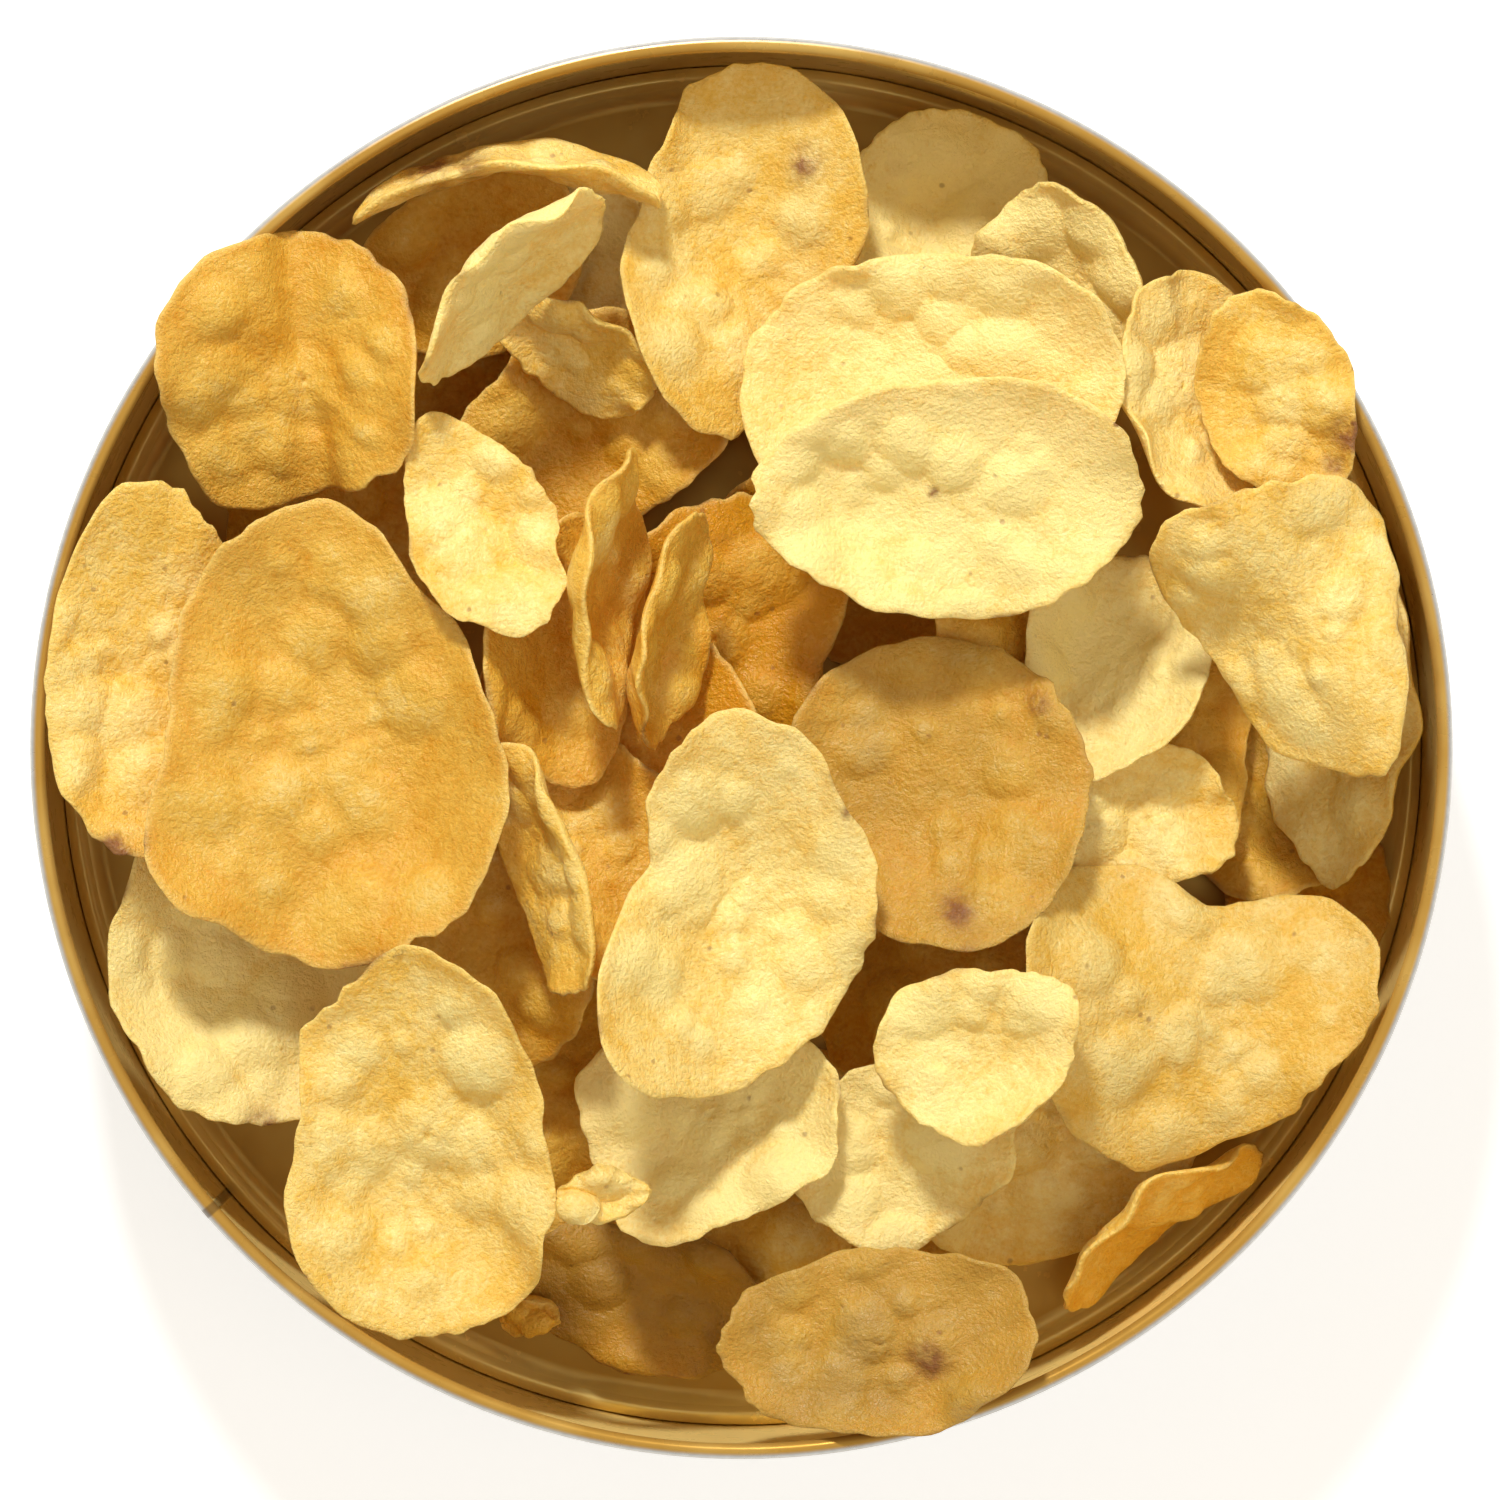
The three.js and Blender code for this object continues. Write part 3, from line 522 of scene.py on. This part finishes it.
def slice_rings(node):
    """Middle surface of a slice: its centre, its rings and the frame of axes that it lies in.

    Each face of the node has a pole and three rings. A ring is all that lies equally many
    edges from the upper pole, and its points are sorted by their angle about the poles."""
    points, triangles = merged(node)
    count = len(points)
    linked = np.zeros((count, count), dtype=bool)
    for a, b in ((0, 1), (1, 2), (2, 0)):
        linked[triangles[:, a], triangles[:, b]] = True
    linked |= linked.T
    poles = np.argsort(linked.sum(axis=1))[-2:]
    top, bottom = sorted(poles, key=lambda pole: -points[pole][2])
    level = np.full(count, -1)
    level[top] = 0
    for step in range(1, 2 * len(CAD_RINGS) + 2):
        near = linked[level == step - 1].any(axis=0) & (level < 0)
        level[near] = step
    sides = int((level == 1).sum())
    expected = [1] + [sides] * (2 * len(CAD_RINGS)) + [1]
    if [int((level == step).sum()) for step in range(len(expected))] != expected:
        raise RuntimeError(f"{node} isn't a slice with {len(CAD_RINGS)} rings a side")
    normal = points[top] - points[bottom]
    normal /= np.linalg.norm(normal)
    first = np.cross(normal, [0.0, 0.0, 1.0] if abs(normal[2]) < 0.9 else [0.0, 1.0, 0.0])
    first /= np.linalg.norm(first)
    axes = np.array([first, np.cross(normal, first), normal])
    centre = (points[top] + points[bottom]) / 2
    rings = []
    lead = None
    for step in range(1, len(expected) - 1):
        members = np.flatnonzero(level == step)
        local = (points[members] - centre) @ axes.T
        angle = np.arctan2(local[:, 1], local[:, 0])
        order = np.argsort(angle)
        members, angle = members[order], angle[order]
        if lead is None:
            lead = angle
        misfit = [np.sum(np.abs(np.exp(1j * np.roll(angle, -turn)) - np.exp(1j * lead)) ** 2)
                  for turn in range(sides)]
        members = np.roll(members, -int(np.argmin(misfit)))
        rings.append(points[members])
    half = len(CAD_RINGS)
    middle = np.array([(rings[k] + rings[2 * half - 1 - k]) / 2 for k in range(half)])
    return centre, middle, axes


def finer_ring(ring, columns):
    """A closed ring of a few points as a smooth one of many, by its Fourier series."""
    count = len(ring)
    series = np.fft.rfft(ring, axis=0)
    series[count // 2] *= 0.5
    return np.fft.irfft(series, n=columns, axis=0) * columns / count


def slice_surface(centre, rings, shares, columns):
    """Middle surface at shares of the outline and at even angles.

    Round the slice each ring follows its Fourier series. Across it, each diameter is the one
    polynomial through the centre and the rings on both sides."""
    fine = np.array([finer_ring(ring, columns) for ring in rings])
    far = np.roll(fine, -columns // 2, axis=1)
    knots = np.array([-s for s in CAD_RINGS[::-1]] + [0.0] + list(CAD_RINGS))
    through = np.concatenate([far[::-1], np.broadcast_to(centre, (1, columns, 3)), fine])
    weights = np.vander(shares, len(knots)) @ np.linalg.inv(np.vander(knots))
    return np.einsum("rk,kcx->rcx", weights, through)


def surface_normals(grid):
    """Unit normals of a polar grid, from its slopes along both parameters."""
    outwards = np.gradient(grid, axis=0)
    round_it = np.roll(grid, -1, axis=1) - np.roll(grid, 1, axis=1)
    normal = np.cross(outwards, round_it)
    return normal / np.linalg.norm(normal, axis=2)[..., None]


def waves(flat, random, longest, shortest, count=10):
    """Sum of plane waves with random directions and lengths, about 1 high."""
    turn = random.uniform(0, 2 * math.pi, count)
    length = random.uniform(shortest, longest, count)
    phase = random.uniform(0, 2 * math.pi, count)
    run = flat[..., 0, None] * np.cos(turn) + flat[..., 1, None] * np.sin(turn)
    return np.sin(2 * math.pi * run / length + phase).sum(axis=-1) / math.sqrt(count / 2)


def blisters(flat, random, count, reach, looks):
    """Round blisters: the largest of many domes (1 - d2 / r2) ** 0.85, spread over the slice."""
    turn = random.uniform(0, 2 * math.pi, count)
    share = np.sqrt(random.uniform(0, 0.9, count))
    spots = np.stack([np.cos(turn), np.sin(turn)], axis=1) * share[:, None] * reach
    wide = random.uniform(0, 1, count) ** 1.4
    radius = SMALL_BLISTER + BLISTER_SPREAD * wide
    high = (0.35 + 0.65 * wide) * looks.blister
    away = ((flat[..., None, :] - spots) ** 2).sum(axis=-1) / radius ** 2
    domes = np.clip(1 - away, 0, None) ** 0.85
    return (domes * high).max(axis=-1), domes.max(axis=-1)


def edge_waves(angles, random, lowest, highest):
    """Uneven ripple round the outline: a sum of random whole waves, about 1 high."""
    order = np.arange(lowest, highest + 1)
    phase = random.uniform(0, 2 * math.pi, len(order))
    weight = random.uniform(0.3, 1.0, len(order)) / np.sqrt(order)
    total = (weight * np.cos(order * angles[:, None] + phase)).sum(axis=1)
    return total / math.sqrt((weight ** 2).sum() / 2)


def scorch(points, spots):
    """1 at the middle of a scorched place, falling to 0 as 1 / (1 + (d / r) ** 4)."""
    total = np.zeros(len(points))
    for x, y, reach in spots:
        away = np.hypot(points[:, 0] - x * MM, points[:, 1] - y * MM) / (reach * MM)
        total = np.maximum(total, 1 / (1 + away ** 4))
    return total


def crease(points, fold):
    """Depth of a fold in the plan: depth * exp(-(d / w) ** 2), where d is the way off its line."""
    if fold is None:
        return np.zeros(points.shape[:2])
    x, y, azimuth, depth, wide = fold
    turn = math.radians(azimuth)
    off = (points[..., 0] - x * MM) * math.sin(turn) - (points[..., 1] - y * MM) * math.cos(turn)
    return depth * MM * np.exp(-(off / (wide * MM)) ** 2)


def make_slice(node, seed, fried_and_shade, looks, material):
    """One slice: upper face, rounded edge and lower face as one closed grid with two poles."""
    random = np.random.default_rng(seed)
    short = node[len("chip_"):]
    centre, rings, axes = slice_rings(node)
    columns = looks.columns
    angles = np.arange(columns) * 2 * math.pi / columns
    even = np.arange(1, looks.rows + 1) / looks.rows
    shares = np.append(even[:-1], [1 - 0.35 / looks.rows, 1.0])
    middle = slice_surface(centre, rings, shares, columns)
    normal = surface_normals(middle)
    flat = ((middle - centre) @ axes.T)[..., :2]
    reach = float(np.sqrt((flat[-1] ** 2).sum(axis=1).mean()))
    outline = edge_waves(angles, random, 5, 34) * looks.nibble * min(1.0, reach / FULL_RIPPLE_REACH)
    spoke = middle[-1] - middle[-4]
    spoke /= np.linalg.norm(spoke, axis=1)[:, None]
    middle = middle + (shares ** 10)[:, None, None] * outline[None, :, None] * spoke[None, :, :]
    ruffle = (shares ** 5)[:, None] * edge_waves(angles, random, 4, 11)[None, :] * looks.ruffle
    bend = waves(flat, random, *LONG_WAVES) * looks.wave + ruffle
    bend = bend - crease(middle, CREASED.get(short))
    fine = waves(flat, random, *SHORT_WAVES, 16) * SHORT_WAVE_HEIGHT
    count = max(3, int(math.pi * reach ** 2 / MM ** 2 / looks.blister_area))
    upper_dome, upper_mark = blisters(flat, random, count, reach, looks)
    lower_dome, lower_mark = blisters(flat, random, count, reach, looks)
    thin = looks.thickness - (looks.thickness - looks.edge) * shares ** 6
    inset = np.sqrt(np.clip(1 - ((shares - 0.985) / 0.015).clip(0, 1) ** 2, 0.12, 1))
    body = (thin * inset)[:, None] / 2
    fade = (1 - shares ** 8)[:, None]
    upper = middle + (bend + body + fade * (upper_dome + fine))[..., None] * normal
    lower = middle + (bend - body - fade * (0.6 * lower_dome - fine))[..., None] * normal
    rim = (upper[-1] + lower[-1]) / 2 + spoke * EDGE_BULGE
    grid = np.concatenate([upper, rim[None], lower[::-1]])
    up = axes[2] * looks.thickness / 2
    inmost = (upper[0].mean(axis=0) + lower[0].mean(axis=0)) / 2
    poles = np.array([inmost + up, inmost - up])
    points = np.concatenate([poles, grid.reshape(-1, 3)])
    rows = grid.shape[0]
    faces = [
        cap_faces(0, 2, columns, 1),
        sleeve_faces(rows, columns, start=2),
        cap_faces(1, 2 + (rows - 1) * columns, columns, -1),
    ]
    to_edge = np.concatenate([[0.0, 0.0], np.repeat(
        np.concatenate([shares, [1.0], shares[::-1]]), columns)])
    marks = np.concatenate([upper_mark, np.zeros((1, columns)), lower_mark[::-1]])
    attributes = {
        "to_edge": to_edge,
        "blister": np.concatenate([[0.0, 0.0], marks.ravel()]),
        # How fried the slice is, with painted shade and painted light in its value
        "fried_and_shade": np.full(len(points), fried_and_shade),
        # Dull oily brown, partly the slice's tone and partly painted shade
        "dull_and_shade": np.full(len(points), DULL_AND_SHADE.get(short, 0.0)),
        "scorch": scorch(points, SCORCHED.get(short, [])),
    }
    name = node.replace("chip_", "slice_", 1)
    return put_mesh(name, points, faces, attributes, material, [node])


# Materials

class Nodes:
    """Adds shader nodes to a new material or world and links them in one call."""

    def __init__(self, name, kind):
        self.made = kind.new(name)
        self.made.use_nodes = True
        self.tree = self.made.node_tree
        self.shader = self.tree.nodes["Principled BSDF" if kind == bpy.data.materials else "Background"]

    def add(self, kind, settings=None, **inputs):
        node = self.tree.nodes.new(kind)
        for key, value in (settings or {}).items():
            setattr(node, key, value)
        for key, value in inputs.items():
            self.give(node, key.replace("_", " "), value)
        return node

    def give(self, node, key, value):
        numbered = key.startswith("in") and key[2:].isdigit()
        socket = node.inputs[int(key[2:]) if numbered else key]
        if isinstance(value, bpy.types.NodeSocket):
            self.tree.links.new(value, socket)
        else:
            socket.default_value = value

    def maths(self, operation, first, second=0.0):
        node = self.add("ShaderNodeMath", {"operation": operation})
        self.give(node, "in0", first)
        self.give(node, "in1", second)
        return node.outputs[0]

    def noise(self, place, scale, detail=3.0, rough=0.5):
        node = self.add("ShaderNodeTexNoise", None, Vector=place, Scale=scale, Detail=detail,
                        Roughness=rough)
        return node.outputs["Fac"]

    def stretched(self, value, low, high, first=0.0, last=1.0):
        node = self.add("ShaderNodeMapRange", None)
        for key, item in (("Value", value), ("From Min", low), ("From Max", high),
                          ("To Min", first), ("To Max", last)):
            self.give(node, key, item)
        return node.outputs["Result"]

    def mixed(self, share, first, second):
        node = self.add("ShaderNodeMix", {"data_type": "RGBA"})
        self.give(node, "in0", share)
        self.give(node, "in6", first)
        self.give(node, "in7", second)
        return node.outputs[2]

    def attribute(self, name):
        return self.add("ShaderNodeAttribute", {"attribute_name": name}).outputs["Fac"]

    def place(self):
        return self.add("ShaderNodeTexCoord").outputs["Object"]


def colour(value):
    return (*value, 1.0)


def fried_slice(looks):
    """Fried potato: rough grain, blisters paler with a painted glow, darker edge with a painted bright rim
    of light shining through, brown specks, painted shade in how fried and dull a slice is, a soft inner
    glow.
    """
    nodes = Nodes("fried_slice", bpy.data.materials)
    place = nodes.place()
    patches = nodes.noise(place, PATCHES, 2.0)
    mottle = nodes.noise(place, MOTTLE, 2.0, 0.6)
    grain = nodes.noise(place, GRAIN, 2.0, 0.7)
    pits = nodes.add("ShaderNodeTexVoronoi", None, Vector=place, Scale=PITS)
    edge = nodes.maths("POWER", nodes.attribute("to_edge"), 14.0)
    blister = nodes.attribute("blister")
    # How fried the slice is, with painted shade and painted light in its value
    done = nodes.attribute("fried_and_shade")
    for weight, source in ((PATCHES_FRY, patches), (MOTTLE_FRIES, mottle), (GRAIN_FRIES, grain)):
        offset = nodes.maths("MULTIPLY", nodes.maths("SUBTRACT", source, 0.5), weight)
        done = nodes.maths("ADD", done, offset)
    done = nodes.maths("ADD", done, nodes.maths("MULTIPLY", edge, EDGE_FRIES))
    # Paler blister tops: painted light, a glow of light shining through the thin blister
    done = nodes.maths("ADD", done, nodes.maths("MULTIPLY", blister, BLISTERS_FRY_AND_GLOW))
    ramp = nodes.add("ShaderNodeValToRGB", None, Fac=done)
    ramp.color_ramp.elements[0].position = 0.0
    ramp.color_ramp.elements[0].color = colour(looks.pale)
    ramp.color_ramp.elements[1].position = 1.0
    ramp.color_ramp.elements[1].color = colour(looks.toasted)
    ramp.color_ramp.elements.new(0.5).color = colour(looks.golden)
    # Painted light: the outermost edge is mixed toward the rim colour, a bright line of light shining
    # through the thin edge
    outermost = nodes.maths("POWER", nodes.attribute("to_edge"), 60.0)
    flesh_light_and_shade = nodes.mixed(nodes.maths("MULTIPLY", outermost, nodes.stretched(mottle, 0.3, 0.7, 0.2, 0.7)),
                        ramp.outputs["Color"], colour(looks.rim))
    # Dull oily brown, partly the slice's tone and partly painted shade
    dull_and_shade = nodes.maths("MULTIPLY", nodes.attribute("dull_and_shade"), nodes.stretched(patches, 0.3, 0.7, 1.3, 0.7))
    flesh_light_and_shade = nodes.mixed(dull_and_shade, flesh_light_and_shade, colour(looks.dull_and_shade))
    chance = nodes.add("ShaderNodeSeparateColor", None, Color=pits.outputs["Color"]).outputs[0]
    odd_pit = nodes.stretched(chance, 0.994, 0.996)
    specks = nodes.maths("MULTIPLY", odd_pit,
                         nodes.stretched(pits.outputs["Distance"], 0.25, 0.5, 0.5, 0.0))
    toast = nodes.stretched(patches, 0.58, 0.68)
    toasted_edge = nodes.maths("MULTIPLY", toast, nodes.maths("MULTIPLY", outermost, 0.6))
    spot = nodes.maths("MULTIPLY", nodes.attribute("scorch"), nodes.stretched(mottle, 0.3, 0.62, 0.3, 1.0))
    brown = nodes.maths("ADD", specks, toasted_edge)
    brown = nodes.maths("MINIMUM", nodes.maths("ADD", brown, spot), 0.92)
    nodes.give(nodes.shader, "Base Color", nodes.mixed(brown, flesh_light_and_shade, colour(looks.burnt)))
    nodes.give(nodes.shader, "Roughness", nodes.stretched(mottle, 0.3, 0.7, 0.30, 0.52))
    nodes.give(nodes.shader, "Specular IOR Level", 0.34)
    nodes.shader.subsurface_method = "BURLEY"
    nodes.give(nodes.shader, "Subsurface Weight", 0.24)
    nodes.give(nodes.shader, "Subsurface Radius", (1.0, 0.48, 0.10))
    nodes.give(nodes.shader, "Subsurface Scale", 3.0 * MM)
    bump = nodes.add("ShaderNodeBump", None, Strength=0.8, Distance=0.55 * MM, Height=grain)
    nodes.give(nodes.shader, "Normal", bump.outputs["Normal"])
    return nodes.made


def lacquered_tinplate(name, colours, rough):
    """Tinplate: bare rolled metal, or one gold lacquer painted as a bright lit copy on the wall and ring
    and a dark shaded copy on the lip and floor, as the attributes say.
    """
    nodes = Nodes(name, bpy.data.materials)
    place = nodes.place()
    streak_place = nodes.add("ShaderNodeMapping", None, Vector=place)
    streak_place.inputs["Scale"].default_value = (1.0, 1.0, 0.08)
    streaks = nodes.noise(streak_place.outputs["Vector"], STREAKS, 3.0)
    cloud = nodes.noise(place, CLOUDS, 3.0)
    smudge = nodes.noise(place, SMUDGES, 4.0, 0.6)
    # Painted light and shade: the lit lacquer copy mixed with the shaded copy by the attribute, clouded
    lacquer_lit_share = nodes.maths("ADD", nodes.attribute("lacquer_lit_share"), nodes.stretched(cloud, 0.3, 0.7, -0.2, 0.2))
    lacquer = nodes.mixed(lacquer_lit_share, colour(colours.lacquer_shaded), colour(colours.lacquer))
    metal = nodes.mixed(nodes.stretched(streaks, 0.35, 0.65, 0.0, 0.35), colour(colours.tinplate),
                        colour(colours.rolled))
    base = nodes.mixed(nodes.attribute("bare"), lacquer, metal)
    burnt = nodes.maths("MULTIPLY", nodes.attribute("seam"), 0.6)
    nodes.give(nodes.shader, "Base Color", nodes.mixed(burnt, base, colour(colours.burnt)))
    nodes.give(nodes.shader, "Metallic", nodes.stretched(nodes.attribute("bare"), 0.0, 1.0, 0.2, 1.0))
    nodes.give(nodes.shader, "Roughness", nodes.stretched(smudge, 0.3, 0.7, rough * 0.75, rough * 1.3))
    nodes.give(nodes.shader, "Specular IOR Level", 0.0)
    bump = nodes.add("ShaderNodeBump", None, Strength=0.08, Distance=0.03 * MM, Height=streaks)
    nodes.give(nodes.shader, "Normal", bump.outputs["Normal"])
    return nodes.made


def seen_directly(nodes):
    """1 where the camera, a mirror or glass looks at a surface, 0 for light on its way."""
    ray = nodes.add("ShaderNodeLightPath")
    seen = nodes.maths("MAXIMUM", ray.outputs["Is Camera Ray"], ray.outputs["Is Glossy Ray"])
    return nodes.maths("MAXIMUM", seen, ray.outputs["Is Transmission Ray"])


def pale_floor(looks):
    """Matt pale floor with the faintest mottle, lifted to white for the eye but not as a lamp."""
    nodes = Nodes("pale_floor", bpy.data.materials)
    mottle = nodes.noise(nodes.place(), 14.0, 2.0)
    shade = tuple(0.985 * part for part in looks.floor)
    nodes.give(nodes.shader, "Base Color", nodes.mixed(mottle, colour(looks.floor), colour(shade)))
    nodes.give(nodes.shader, "Roughness", 0.9)
    nodes.give(nodes.shader, "Specular IOR Level", 0.1)
    nodes.give(nodes.shader, "Emission Color", (1.0, 1.0, 1.0, 1.0))
    lift = nodes.maths("MULTIPLY", seen_directly(nodes), looks.floor_lift)
    nodes.give(nodes.shader, "Emission Strength", lift)
    return nodes.made


def studio_world(looks):
    """Light from all round: dim as a lamp, white to the eye and in mirrors."""
    nodes = Nodes("studio", bpy.data.worlds)
    seen = seen_directly(nodes)
    nodes.give(nodes.shader, "Color", nodes.mixed(seen, colour(looks.sky_tint), (1.0, 1.0, 1.0, 1.0)))
    nodes.give(nodes.shader, "Strength", nodes.stretched(seen, 0.0, 1.0, looks.sky, 1.0))
    return nodes.made


# Operators

class TinBody(bpy.types.Operator):
    """Makes the wall of the tin with its rolled lip"""

    bl_idname = "chip_tin.body"
    bl_label = "Tin wall"

    def execute(self, context):
        scene = context.scene
        make_body(scene.tin_sizes, lacquered_tinplate("wall_tinplate", scene.tin_colours, 0.30))
        return {"FINISHED"}


class TinEnd(bpy.types.Operator):
    """Makes the floor of the tin with its ring and bottom seam"""

    bl_idname = "chip_tin.end"
    bl_label = "Tin floor"

    def execute(self, context):
        scene = context.scene
        make_end(scene.tin_sizes, lacquered_tinplate("floor_tinplate", scene.tin_colours, 0.22))
        return {"FINISHED"}


class TinSlices(bpy.types.Operator):
    """Makes every fried slice of the heap"""

    bl_idname = "chip_tin.slices"
    bl_label = "Slices"

    def execute(self, context):
        looks = context.scene.chip_looks
        material = fried_slice(looks)
        slices = sorted(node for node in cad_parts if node.startswith("chip_"))
        for seed, node in enumerate(slices):
            # Each slice's fried value carries painted shade and painted light as well as its fried tone
            make_slice(node, seed, FRIED_AND_SHADE.get(node[len("chip_"):], FRIED_AND_SHADE_BELOW), looks, material)
        return {"FINISHED"}


class TinStage(bpy.types.Operator):
    """Makes the floor, the lamps and the camera"""

    bl_idname = "chip_tin.stage"
    bl_label = "Stage"

    def execute(self, context):
        looks = context.scene.stage_looks
        self.floor(looks)
        self.camera(looks)
        self.lamp("key", looks.key_place, looks.key_size, looks.key_power)
        self.lamp("fill", looks.fill_place, looks.fill_size, looks.fill_power)
        context.scene.world = studio_world(looks)
        context.scene.view_settings.view_transform = "Standard"
        return {"FINISHED"}

    def floor(self, looks):
        corners = [(x * FLOOR_HALF, y * FLOOR_HALF, -FLOOR_DROP)
                   for x, y in ((-1, -1), (1, -1), (1, 1), (-1, 1))]
        mesh = bpy.data.meshes.new("studio_floor")
        mesh.from_pydata(corners, [], [(0, 1, 2, 3)])
        mesh.materials.append(pale_floor(looks))
        floor = bpy.data.objects.new("studio_floor", mesh)
        bpy.context.scene.collection.objects.link(floor)

    def camera(self, looks):
        data = bpy.data.cameras.new("camera")
        data.lens = data.sensor_width * looks.camera_height / looks.field
        camera = bpy.data.objects.new("camera", data)
        back = looks.nadir[1] - looks.aim[1]
        camera.location = (looks.nadir[0], looks.nadir[1], TIN_HEIGHT + looks.camera_height)
        camera.rotation_euler = (-math.atan2(back, looks.camera_height), 0, 0)
        bpy.context.scene.collection.objects.link(camera)
        bpy.context.scene.camera = camera

    def lamp(self, name, place, size, power):
        data = bpy.data.lights.new(name, "AREA")
        data.shape = "DISK"
        data.size = size
        data.energy = power
        lamp = bpy.data.objects.new(name, data)
        lamp.location = place
        away = math.hypot(place[0], place[1])
        lamp.rotation_euler = (math.atan2(away, place[2]), 0, math.atan2(place[1], place[0]) + math.pi / 2)
        bpy.context.scene.collection.objects.link(lamp)


class TinPanel(bpy.types.Panel):
    """Lists the pieces of the tin"""

    bl_idname = "VIEW3D_PT_chip_tin"
    bl_label = "Chip tin"
    bl_space_type = "VIEW_3D"
    bl_region_type = "UI"
    bl_category = "Chip tin"

    def draw(self, context):
        for operator in OPERATORS:
            self.layout.operator(operator.bl_idname)


GROUPS = {
    "tin_sizes": TinSizes,
    "tin_colours": TinColours,
    "chip_looks": ChipLooks,
    "stage_looks": StageLooks,
}
OPERATORS = (TinBody, TinEnd, TinSlices, TinStage)


def register():
    for group in GROUPS.values():
        bpy.utils.register_class(group)
    for name, group in GROUPS.items():
        setattr(bpy.types.Scene, name, bpy.props.PointerProperty(type=group))
    for each in (*OPERATORS, TinPanel):
        bpy.utils.register_class(each)


def unregister():
    for each in (TinPanel, *reversed(OPERATORS)):
        bpy.utils.unregister_class(each)
    for name in GROUPS:
        delattr(bpy.types.Scene, name)
    for group in GROUPS.values():
        bpy.utils.unregister_class(group)


def main():
    register()
    bpy.ops.chip_tin.body()
    bpy.ops.chip_tin.end()
    bpy.ops.chip_tin.slices()
    bpy.ops.chip_tin.stage()


if __name__ == "__main__":
    main()
